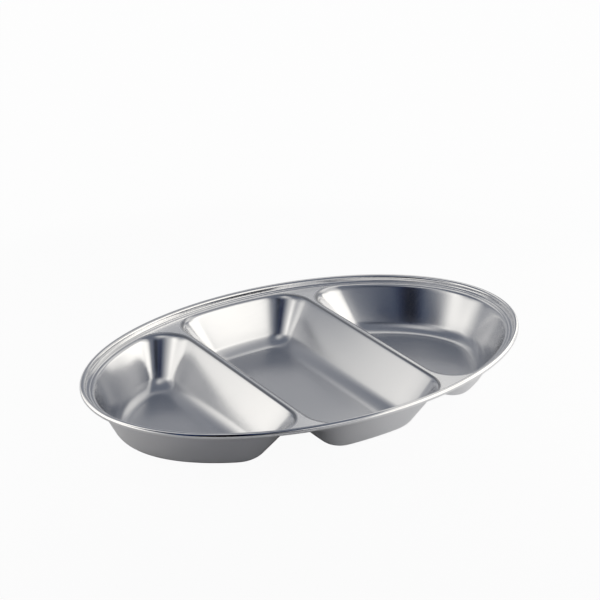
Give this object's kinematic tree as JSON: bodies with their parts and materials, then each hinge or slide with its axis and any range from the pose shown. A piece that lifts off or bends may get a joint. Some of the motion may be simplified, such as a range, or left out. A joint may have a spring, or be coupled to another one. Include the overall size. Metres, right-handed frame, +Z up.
{
  "type": "divided serving dish",
  "caption": "Oval stainless-steel serving dish, pressed from one sheet, with three wells parted by low dividers and a rolled rim.",
  "frame": {"origin": "middle of the dish's base, in the plane that it stands on", "axes": "+X along the dish's length, towards its right-hand well; +Y across it, away from the viewer; +Z up, out of the wells"},
  "size_m": [0.35, 0.229, 0.0386],
  "materials": {
    "steel_rim": "satin polished",
    "steel_divider": "satin polished",
    "steel_well": "fine brushed"
  },
  "bodies": {
    "root": {"rolled_rim": "steel_rim", "cover_ledge": "steel_rim", "left_divider": "steel_divider", "right_divider": "steel_divider", "left_well": "steel_well", "middle_well": "steel_well", "right_well": "steel_well"}
  },
  "joints": []
}
